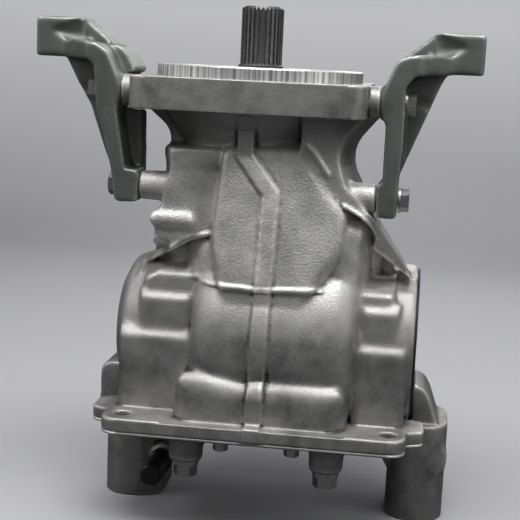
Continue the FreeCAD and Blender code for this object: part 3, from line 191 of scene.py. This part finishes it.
def cast_metal(name, dark, light, roughness, peel_mm, peel_depth, upper=False):
    """Cast aluminium: cloudy tone, fine grain, painted shade in corners, painted highlights on edges and an
    orange-peel surface.

    With upper, the orange peel fades below the belly, painted light makes the casting lighter above the
    belly and darker below it, and painted shade darkens the neck under the plate.
    """
    material, tree_nodes, links, principled = shader(name, 0.72, roughness)
    points = object_points(tree_nodes)
    cloud = noise(tree_nodes, links, points, 28, 3, 0.6)
    grain = noise(tree_nodes, links, points, 1.1, 2, 0.6)
    tone = math_node(tree_nodes, links, "ADD", math_node(tree_nodes, links, "MULTIPLY", cloud, 0.65),
                     math_node(tree_nodes, links, "MULTIPLY", grain, 0.35))
    # Painted highlight on edges and painted shade in corners, from the mesh's curvature
    edge = tree_nodes.new("ShaderNodeAttribute")
    edge.attribute_name = "edge_highlight_and_corner_shade"
    tone = math_node(tree_nodes, links, "ADD", tone, edge.outputs["Fac"])
    if upper:
        split = tree_nodes.new("ShaderNodeSeparateXYZ")
        links.new(points, split.inputs["Vector"])
        # Painted light: lighter above the belly and darker below it; painted shade on the neck under the
        # plate
        painted_light = by_height(tree_nodes, links, split, PAINTED_LIGHT_HEIGHTS, -0.22, 0.32)
        neck = by_height(tree_nodes, links, split, NECK_PAINTED_SHADE, 0.0, -0.50)
        tone = math_node(tree_nodes, links, "ADD", math_node(tree_nodes, links, "ADD", tone, painted_light), neck)
    # The lightest colour is reached on painted edge highlights and painted light above the belly, the
    # darkest in painted shade in corners and under the plate
    painted_highlight_colour = tuple(min(1.0, value * 1.75) for value in light)
    painted_shade_colour = tuple(value * 0.22 for value in dark)
    links.new(ramp(tree_nodes, links, tone, [(0.0, painted_shade_colour), (0.34, dark), (0.66, light), (1.0, painted_highlight_colour)]),
              principled.inputs["Base Color"])
    patch = noise(tree_nodes, links, points, 14, 2)
    links.new(scaled(tree_nodes, links, patch, 0.3, 0.7, roughness - 0.06, roughness + 0.08),
              principled.inputs["Roughness"])
    peel = noise(tree_nodes, links, points, peel_mm, 2, 0.45)
    if upper:
        rough = by_height(tree_nodes, links, split, PEEL_FADES_IN, 0.12, 1.0)
        plain = by_height(tree_nodes, links, split, PEEL_FADES_OUT, 1.0, 0.25)
        share = math_node(tree_nodes, links, "MULTIPLY", rough, plain)
        peel = math_node(tree_nodes, links, "MULTIPLY", peel, share)
    bump(tree_nodes, links, principled, [(peel, peel_depth, 1.0), (grain, 0.06, 0.6)])
    return material


def turned_metal(name, dark, light, roughness, rim_stripes=0):
    """Machined steel: fine rings about Z and, with rim_stripes, upright stripes on the pilot disc's rim."""
    material, tree_nodes, links, principled = shader(name, 0.6, roughness)
    points = object_points(tree_nodes)
    split = tree_nodes.new("ShaderNodeSeparateXYZ")
    links.new(points, split.inputs["Vector"])
    radius = math_node(tree_nodes, links, "SQRT", math_node(
        tree_nodes, links, "ADD", math_node(tree_nodes, links, "POWER", split.outputs["X"], 2.0),
        math_node(tree_nodes, links, "POWER", split.outputs["Y"], 2.0)))
    rings = tree_nodes.new("ShaderNodeTexNoise")
    rings.noise_dimensions = "1D"
    rings.inputs["Scale"].default_value = 1 / (0.5 * MM)
    links.new(radius, rings.inputs["W"])
    tone = rings.outputs["Fac"]
    if rim_stripes:
        angle = math_node(tree_nodes, links, "ARCTAN2", split.outputs["Y"], split.outputs["X"])
        stripes = tree_nodes.new("ShaderNodeTexNoise")
        stripes.noise_dimensions = "1D"
        stripes.inputs["Scale"].default_value = rim_stripes / math.tau
        stripes.inputs["Detail"].default_value = 3
        links.new(angle, stripes.inputs["W"])
        edge = scaled(tree_nodes, links, radius, (DISC_R - 0.4) * MM, (DISC_R - 0.2) * MM, 0, 1)
        blend = tree_nodes.new("ShaderNodeMix")
        links.new(edge, blend.inputs["Factor"])
        links.new(rings.outputs["Fac"], blend.inputs["A"])
        links.new(stripes.outputs["Fac"], blend.inputs["B"])
        tone = blend.outputs["Result"]
    links.new(ramp(tree_nodes, links, tone, [(0.36, dark), (0.62, light)]), principled.inputs["Base Color"])
    bump(tree_nodes, links, principled, [(tone, 0.12, 0.8)])
    return material


def plain_metal(name, dark, light, roughness, grain_mm=2.0, stretch=(1, 1, 1)):
    """Plated or forged metal: a slightly mottled tone and a fine grain."""
    material, tree_nodes, links, principled = shader(name, 1.0, roughness)
    points = object_points(tree_nodes)
    grain = noise(tree_nodes, links, points, grain_mm, 3, 0.6, stretch)
    links.new(ramp(tree_nodes, links, grain, [(0.35, dark), (0.65, light)]), principled.inputs["Base Color"])
    links.new(scaled(tree_nodes, links, grain, 0.3, 0.7, roughness - 0.05, roughness + 0.08),
              principled.inputs["Roughness"])
    bump(tree_nodes, links, principled, [(grain, 0.04, 0.5)])
    return material


def dull(name, dark, light, roughness):
    """Rubber or plastic: matt, with a fine grain."""
    material, tree_nodes, links, principled = shader(name, 0.0, roughness)
    points = object_points(tree_nodes)
    grain = noise(tree_nodes, links, points, 0.8, 3, 0.6)
    links.new(ramp(tree_nodes, links, grain, [(0.35, dark), (0.65, light)]), principled.inputs["Base Color"])
    bump(tree_nodes, links, principled, [(grain, 0.05, 0.5)])
    return material


def grey(value, warmth=0.0):
    """Grey of one lightness, a little warm or cold."""
    return value * (1 + warmth), value, value * (1 - warmth)


FINISHES = {
    "cast_aluminium": cast_metal("cast_aluminium", grey(0.38, 0.012), grey(0.50, 0.012), 0.52, 1.5, 0.42,
                                 upper=True),
    "bracket_aluminium": cast_metal("bracket_aluminium", (0.175, 0.185, 0.172), (0.24, 0.25, 0.237), 0.50,
                                    3.2, 0.08),
    "machined_steel": turned_metal("machined_steel", grey(0.36), grey(1.0), 0.34, 170),
    "phosphated_steel": plain_metal("phosphated_steel", grey(0.13), grey(0.22), 0.46, 1.6),
    "gear_steel": plain_metal("gear_steel", grey(0.28), grey(0.40), 0.30),
    "thrust_bronze": plain_metal("thrust_bronze", (0.38, 0.25, 0.11), (0.52, 0.37, 0.17), 0.35),
    "case_iron": plain_metal("case_iron", grey(0.16), grey(0.25), 0.50, 3.0),
    "bearing_steel": plain_metal("bearing_steel", grey(0.50), grey(0.62), 0.18),
    "zinc_steel": plain_metal("zinc_steel", grey(0.42), grey(0.58), 0.38, 1.2),
    "soft_aluminium": plain_metal("soft_aluminium", grey(0.45), grey(0.60), 0.35),
    "bored_steel": plain_metal("bored_steel", grey(0.36), grey(0.50), 0.34, 1.2),
    "seal_rubber": dull("seal_rubber", grey(0.012), grey(0.022), 0.65),
    "black_plastic": dull("black_plastic", grey(0.008), grey(0.016), 0.42),
}


# Castings with soft corners

def loose_copy(node):
    """Object with a copy of a CAD node's mesh, its doubles merged."""
    mesh = nodes[node].data.copy()
    copy = bpy.data.objects.new("copy_" + node, mesh)
    bpy.context.scene.collection.objects.link(copy)
    work = bmesh.new()
    work.from_mesh(mesh)
    bmesh.ops.remove_doubles(work, verts=work.verts, dist=1e-6)
    work.to_mesh(mesh)
    work.free()
    return copy


def modified(piece, kind, **settings):
    """Applies one modifier to a piece's mesh."""
    modifier = piece.modifiers.new(kind, kind)
    for name, value in settings.items():
        setattr(modifier, name, value)
    bpy.context.view_layer.update()
    depsgraph = bpy.context.evaluated_depsgraph_get()
    mesh = bpy.data.meshes.new_from_object(piece.evaluated_get(depsgraph))
    piece.modifiers.remove(modifier)
    old = piece.data
    piece.data = mesh
    bpy.data.meshes.remove(old)


def points_of(mesh):
    """Array of a mesh's points, in millimetres."""
    points = np.empty(len(mesh.vertices) * 3)
    mesh.vertices.foreach_get("co", points)
    return points.reshape(-1, 3) / MM


def put_points(mesh, points):
    """Puts an array of points in millimetres back into its mesh."""
    mesh.vertices.foreach_set("co", (points * MM).ravel())
    mesh.update()


def edge_ends(mesh):
    """Arrays with the first and the second point of every edge, and the number of edges at each point."""
    edges = np.empty(len(mesh.edges) * 2, dtype=np.int64)
    mesh.edges.foreach_get("vertices", edges)
    first, second = edges.reshape(-1, 2).T
    return first, second, np.maximum(np.bincount(edges, minlength=len(mesh.vertices)), 1)


def around(values, first, second, number):
    """Mean of one value over each point's neighbours."""
    count = len(number)
    return (np.bincount(first, values[second], count) + np.bincount(second, values[first], count)) / number


def mean_around(points, ends):
    """Mean place of each point's neighbours."""
    return np.stack([around(points[:, axis], *ends) for axis in range(3)], -1)


def relaxed(mesh, weight, rounds):
    """Moves each point towards the mean of its neighbours, by half its weight, in each round."""
    points = points_of(mesh)
    ends = edge_ends(mesh)
    share = 0.5 * weight(points)[:, None]
    for _ in range(rounds):
        points += share * (mean_around(points, ends) - points)
    put_points(mesh, points)


def rises(values, span):
    """0 below a span, 1 above it and a straight line between."""
    return np.clip((values - span[0]) / (span[1] - span[0]), 0, 1)


def set_back(mesh):
    """Bends the free part of the right web and of the left brace back towards the side bosses.

    A point moves along y by its surface's whole set-back at the front, and by less towards the back. The
    web's set-back grows downwards, and the brace's follows a line in plan. The bead along the belly's foot
    is moved along z: up on its left, and down a little near the rib.
    """
    points = points_of(mesh)
    x, y, z = points.T
    clear = rises(z, BLADES_FOOT)
    web = clear * rises(x, WEB_X) * (1 - rises(z, WEB_Z)) * (1 - rises(y, WEB_Y))
    points[:, 1] += web * WEB_SET_BACK
    brace = clear * (1 - rises(z, BRACE_TOP)) * (1 - rises(x, BRACE_X))
    brace *= np.clip(near_line(points, BRACE_LINE, BRACE_REACH) * 3, 0, 1)
    plan = np.interp(x, *zip(*BRACE_PLAN))
    points[:, 1] += brace * (plan - BRACE_Y[0]) * (1 - rises(y, BRACE_Y))
    bead = (y < BEAD_BACK_Y) * rises(z, BEAD_FOOT) * (1 - rises(z, BEAD_TOP))
    points[:, 2] += bead * np.interp(x, *zip(*BEAD_RISE))
    put_points(mesh, points)


def raised_lines(mesh):
    """Lifts the long rib and the thin lines further out, with a fine groove along both sides of the rib.

    A point moves along y by the line's own height, less towards its sides, by its distance from the line
    seen from the front.
    """
    points = points_of(mesh)
    x, y, z = points.T
    front = (y < FRONT_Y) & (z > FLANGE_TOP + 8) & (z < PLATE_FOOT - 2)
    away = RIB_REACH * (1 - near_line(points, RIB_LINE, RIB_REACH))
    points[:, 1] -= front * RIB_RISE * np.clip(RIB_HALF - away, 0, 1)
    points[:, 1] += front * GROOVE_DEPTH * np.clip(1 - np.abs(away - GROOVE_AT) / GROOVE_HALF, 0, 1)
    for line in RIDGE_LINES:
        points[:, 1] -= front * RIDGE_RISE * np.clip(near_line(points, line, RIDGE_REACH) * 2, 0, 1)
    put_points(mesh, points)


def paint_edge_highlight_and_corner_shade(mesh):
    """Stores how much each point stands out from its neighbours, for a painted highlight on edges (above 0)
    and painted shade in corners (below 0).

    The curve is a point's height over its neighbours' mean, along the normal, times four over the square of
    the mean edge length. Six rounds blend it half and half with the neighbours' mean. The tone is what lies
    above 0.10 or below -0.08, up to 0.65 and down to -0.6.
    """
    points = points_of(mesh)
    ends = edge_ends(mesh)
    first, second, number = ends
    normals = np.empty(points.size)
    mesh.vertex_normals.foreach_get("vector", normals)
    out = ((points - mean_around(points, ends)) * normals.reshape(-1, 3)).sum(axis=1)
    length = np.linalg.norm(points[first] - points[second], axis=1)
    count = len(number)
    spread = (np.bincount(first, length, count) + np.bincount(second, length, count)) / number
    curve = out * 4 / np.maximum(spread, 0.2) ** 2
    for _ in range(6):
        curve = 0.5 * curve + 0.5 * around(curve, *ends)
    tone = np.clip(curve - 0.10, 0, 0.5) * 1.3 + np.clip(curve + 0.08, -0.5, 0) * 1.2
    attribute = mesh.attributes.new("edge_highlight_and_corner_shade", "FLOAT", "POINT")
    attribute.data.foreach_set("value", tone.astype(np.float32))


def near_line(points, line, reach):
    """1 on an (x, z) line and 0 from reach millimetres away, seen from the front."""
    flat = points[:, [0, 2]]
    nearest = np.full(len(points), 1e9)
    for start, end in zip(line, line[1:]):
        start, end = np.array(start), np.array(end)
        along = end - start
        share = np.clip(((flat - start) @ along) / (along @ along), 0, 1)
        nearest = np.minimum(nearest, np.linalg.norm(flat - start - share[:, None] * along, axis=1))
    return np.clip(1 - nearest / reach, 0, 1)


def housing_softness(points):
    """Softness of the casting's corners: most at the belly's ends, less on machined faces and thin lines."""
    x, y, z = points.T
    soft = np.ones(len(points))
    plate = z > PLATE_FOOT - 1.2
    flange = z < FLANGE_TOP + 3
    boss_faces = (x < -97) | (x > 131)
    side_bores = (np.hypot(y, z - AXLE_Z) < 45) & ((x < -36) | (x > 84))
    neck_bore = (np.hypot(x, y) < 45) & (z > 225)
    right_blade = (x > 92) & (z > 190) & (z < 250) & (y < -20)
    zones = [(plate, 0.12), (flange, 0.15), (boss_faces, 0.3), (side_bores, 0.1), (neck_bore, 0.1),
             (right_blade, 0.2)]
    for zone, value in zones:
        soft[zone] = value
    soft *= 0.37
    # The belly's left and right ends are the softest
    ends = np.clip(1 - np.abs(x + 30) / 14, 0, 1) + np.clip(1 - np.abs(x - 84) / 14, 0, 1)
    belly = (y < -50) & (z > 124) & (z < 222)
    soft = np.where(belly, np.maximum(soft, np.minimum(ends * 1.6, 1.0)), soft)
    # The rib and the thin lines keep their edges
    front = y < FRONT_Y
    soft *= 1 - 0.93 * np.minimum(near_line(points, RIB_LINE, 13) * 2.4, 1) * front
    for line in RIDGE_LINES:
        soft *= 1 - 0.85 * np.minimum(near_line(points, line, 6) * 2, 1) * front
    return soft


def cover_softness(points):
    """1 on the legs and dome, less on the lip and on the lowest faces."""
    z = points[:, 2]
    soft = np.ones(len(points))
    soft[(z > FLANGE_FOOT - 2) & (z < 80)] = 0.1
    soft[z < 1.5] = 0.15
    return soft


def bracket_softness(points):
    """Even softness for the brackets."""
    return np.full(len(points), 0.8)


# Each casting's piece, CAD node, finish, voxel in millimetres, softness, relaxing rounds, most triangles
CASTINGS = [
    ("housing_casting", "carrier_housing", "cast_aluminium", 1.0, housing_softness, 60, 195000),
    ("cover_casting", "rear_cover", "cast_aluminium", 1.3, cover_softness, 12, 120000),
    ("left_bracket_casting", "left_mount_bracket", "bracket_aluminium", 1.1, bracket_softness, 14, 60000),
    ("right_bracket_casting", "right_mount_bracket", "bracket_aluminium", 1.1, bracket_softness, 14, 60000),
]


def make_castings():
    """Voxel-remeshed copies of the cast nodes, relaxed into soft corners and thinned."""
    for name, node, finish, voxel_mm, softness, rounds, most in CASTINGS:
        piece = loose_copy(node)
        piece.name = name
        coarse = 1.0
        modified(piece, "REMESH", mode="VOXEL", voxel_size=voxel_mm * coarse * MM)
        if name == "housing_casting":
            set_back(piece.data)
            raised_lines(piece.data)
        relaxed(piece.data, softness, int(rounds / coarse ** 2))
        triangles = 2 * len(piece.data.polygons)
        if triangles > most:
            modified(piece, "DECIMATE", decimate_type="COLLAPSE", ratio=most / triangles)
        piece.data.shade_smooth()
        # Painted highlights on edges and painted shade in corners, for the finish
        paint_edge_highlight_and_corner_shade(piece.data)
        piece.data.materials.clear()
        piece.data.materials.append(FINISHES[finish])
        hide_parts(node)
        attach(piece, "housing")


make_castings()


# CAD nodes that keep their own shape

# The rings in the side bores don't share the finish of the pilot disc
OWN_FINISH = {"left_bearing_adjuster": "bored_steel", "right_bearing_adjuster": "bored_steel",
              "left_seal_carrier": "bored_steel", "right_seal_carrier": "bored_steel"}

for entry in frame["record"]["subparts"]:
    node = nodes[entry["node"]]
    if node.hide_render:
        continue
    node.data.materials.clear()
    node.data.materials.append(FINISHES[OWN_FINISH.get(entry["node"], entry["material_slot"])])


# Room, light and camera

# Strength of the light from above and from below, and of the grey that the camera sees
AIR_ABOVE = 0.30
AIR_BELOW = 0.02
AIR_BEHIND = 0.55

# Places and sizes in metres, the paper's two tones, and the lamps' power in watts
FLOOR_FRONT = -3.0
FLOOR_BACK = 1.2
FLOOR_HALF = 3.5
WALL_BEND = 0.5
WALL_TOP = 3.0
DARK_PAPER = (0.045, 0.045, 0.047, 1)
PALE_PAPER = (0.45, 0.45, 0.47, 1)
LAMP_TARGET = Vector((0, 0, 0.2))
LAMPS = [
    ("top_soft", (0.0, -0.42, 1.5), (1.3, 0.7), 22),
    ("left_soft", (-1.3, -0.5, 1.0), (0.6, 1.0), 3.5),
    ("right_soft", (1.3, -0.4, 0.9), (0.6, 1.0), 3.5),
    ("rear_soft", (0.2, 1.1, 0.9), (0.9, 0.7), 5),
]
CAMERA_TARGET = Vector((6.5, 0.0, 198.0)) * MM
CAMERA_DISTANCE = 945 * MM
CAMERA_YAW = math.radians(7.0)
CAMERA_PITCH = math.radians(9.6)
CAMERA_ROLL = math.radians(2.7)

# Sensor and lens in millimetres, from the photograph's focal length and width in pixels
FOCAL_PIXELS = 1180
PHOTO_PIXELS = 520
SENSOR = 36
CAMERA_LENS = SENSOR * FOCAL_PIXELS / PHOTO_PIXELS


def make_air(above, below, behind):
    """Faint light from all round, more of it from above than from below, and a pale grey for the camera."""
    world = bpy.data.worlds.new("studio")
    bpy.context.scene.world = world
    world.use_nodes = True
    tree = world.node_tree
    direction = tree.nodes.new("ShaderNodeTexCoord").outputs["Generated"]
    split = tree.nodes.new("ShaderNodeSeparateXYZ")
    tree.links.new(direction, split.inputs["Vector"])
    light = scaled(tree.nodes, tree.links, split.outputs["Z"], -0.12, 0.45, below, above)
    rays = tree.nodes.new("ShaderNodeLightPath").outputs["Is Camera Ray"]
    tree.links.new(math_node(tree.nodes, tree.links, "MAXIMUM", light,
                             math_node(tree.nodes, tree.links, "MULTIPLY", rays, behind)),
                   tree.nodes["Background"].inputs["Strength"])
    tree.nodes["Background"].inputs["Color"].default_value = (1, 1, 1, 1)


def make_lamp(name, place, size, power):
    """Soft oblong lamp that points at the middle of the carrier."""
    lamp = bpy.data.lights.new(name, "AREA")
    lamp.shape = "RECTANGLE"
    lamp.size, lamp.size_y = size
    lamp.energy = power
    holder = bpy.data.objects.new(name, lamp)
    bpy.context.scene.collection.objects.link(holder)
    holder.location = place
    holder.rotation_euler = (LAMP_TARGET - Vector(place)).to_track_quat("-Z", "Y").to_euler()


def make_floor():
    """Floor that bends up into a wall behind the object.

    Its profile in (y, z) is a straight line, a quarter circle and an upright line, carried along x. The
    camera sees a pale paper with a painted glow that grows with height, and other rays see a dark one.
    """
    turn = np.linspace(0, math.pi / 2, 12)[1:]
    depth = np.concatenate([np.linspace(FLOOR_FRONT, FLOOR_BACK, 20), FLOOR_BACK + WALL_BEND * np.sin(turn),
                            np.full(8, FLOOR_BACK + WALL_BEND)])
    height = np.concatenate([np.zeros(20), WALL_BEND - WALL_BEND * np.cos(turn),
                             np.linspace(0.7, WALL_TOP, 8)])
    across = np.linspace(-FLOOR_HALF, FLOOR_HALF, 12)
    grid_x, grid_s = np.meshgrid(across, np.arange(len(depth)))
    points = np.stack([grid_x, depth[grid_s], height[grid_s]], -1).reshape(-1, 3)
    rows, columns = grid_x.shape
    corner = (np.arange(rows - 1)[:, None] * columns + np.arange(columns - 1)).ravel()
    faces = np.stack([corner, corner + 1, corner + columns + 1, corner + columns], -1)
    mesh = bpy.data.meshes.new("floor")
    mesh.from_pydata(points.tolist(), [], faces.tolist())
    mesh.shade_smooth()
    floor = bpy.data.objects.new("floor", mesh)
    bpy.context.scene.collection.objects.link(floor)
    material, tree_nodes, links, principled = shader("paper", 0.0, 0.95)
    rays = tree_nodes.new("ShaderNodeLightPath")
    paper = tree_nodes.new("ShaderNodeMix")
    paper.data_type = "RGBA"
    links.new(rays.outputs["Is Camera Ray"], paper.inputs["Factor"])
    paper.inputs["A"].default_value = DARK_PAPER
    paper.inputs["B"].default_value = PALE_PAPER
    links.new(paper.outputs["Result"], principled.inputs["Base Color"])
    split = tree_nodes.new("ShaderNodeSeparateXYZ")
    links.new(object_points(tree_nodes), split.inputs["Vector"])
    # Painted light on the wall: a glow that only the camera sees, brighter with height
    glow = scaled(tree_nodes, links, split.outputs["Z"], 0.02, 0.45, 0.0, 0.30)
    principled.inputs["Emission Color"].default_value = (0.99, 0.99, 1.0, 1)
    links.new(math_node(tree_nodes, links, "MULTIPLY", glow, rays.outputs["Is Camera Ray"]),
              principled.inputs["Emission Strength"])
    mesh.materials.append(material)


def make_camera():
    """Camera at the photograph's angle, turned a little about its own axis."""
    back = Vector((math.sin(CAMERA_YAW) * math.cos(CAMERA_PITCH),
                   -math.cos(CAMERA_YAW) * math.cos(CAMERA_PITCH), math.sin(CAMERA_PITCH)))
    right = Vector((0, 0, 1)).cross(back).normalized()
    up = back.cross(right)
    turned_right = right * math.cos(CAMERA_ROLL) + up * math.sin(CAMERA_ROLL)
    turned_up = up * math.cos(CAMERA_ROLL) - right * math.sin(CAMERA_ROLL)
    camera = bpy.data.cameras.new("camera")
    camera.lens = CAMERA_LENS
    camera.sensor_width = SENSOR
    camera.sensor_fit = "HORIZONTAL"
    holder = bpy.data.objects.new("camera", camera)
    bpy.context.scene.collection.objects.link(holder)
    place = CAMERA_TARGET + back * CAMERA_DISTANCE
    rotation = Matrix((turned_right, turned_up, back)).transposed().to_4x4()
    holder.matrix_world = Matrix.Translation(place) @ rotation
    bpy.context.scene.camera = holder


make_air(AIR_ABOVE, AIR_BELOW, AIR_BEHIND)
for lamp_name, lamp_place, lamp_size, lamp_power in LAMPS:
    make_lamp(lamp_name, lamp_place, lamp_size, lamp_power)
make_floor()
make_camera()
bpy.context.scene.view_settings.view_transform = "Standard"
